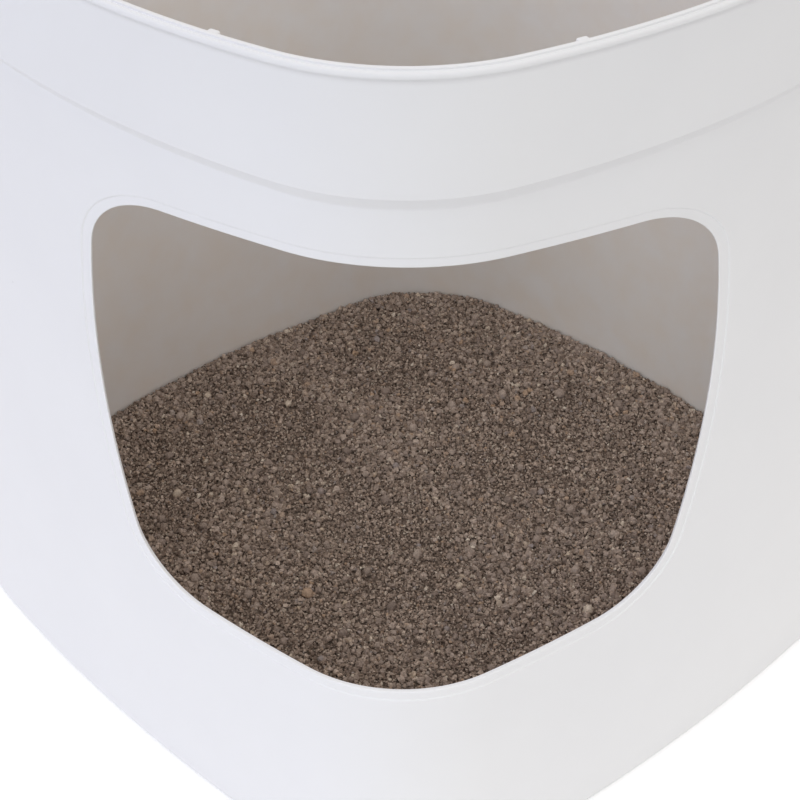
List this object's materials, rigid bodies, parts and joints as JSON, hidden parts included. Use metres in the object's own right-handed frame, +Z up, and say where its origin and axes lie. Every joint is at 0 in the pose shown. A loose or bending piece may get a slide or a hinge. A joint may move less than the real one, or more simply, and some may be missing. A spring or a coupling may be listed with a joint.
{
  "type": "litter box",
  "caption": "Tall open litter box: a rounded square tub with a window-shaped entrance cut through its front corner, holding a bed of clay granules.",
  "frame": {"origin": "centre of the underside of the base, on the surface that the tub stands on", "axes": "+Z up; -Y towards the corner with the entrance window; +X to the right as seen by someone facing that corner"},
  "size_m": [0.4482, 0.4482, 0.402],
  "materials": {
    "tub_plastic": "satin",
    "clay_litter": "matte",
    "clay_granules": "matte"
  },
  "bodies": {
    "root": {"tub": "tub_plastic", "litter_bed": "clay_litter", "coarse_granules": "clay_granules"}
  },
  "joints": []
}
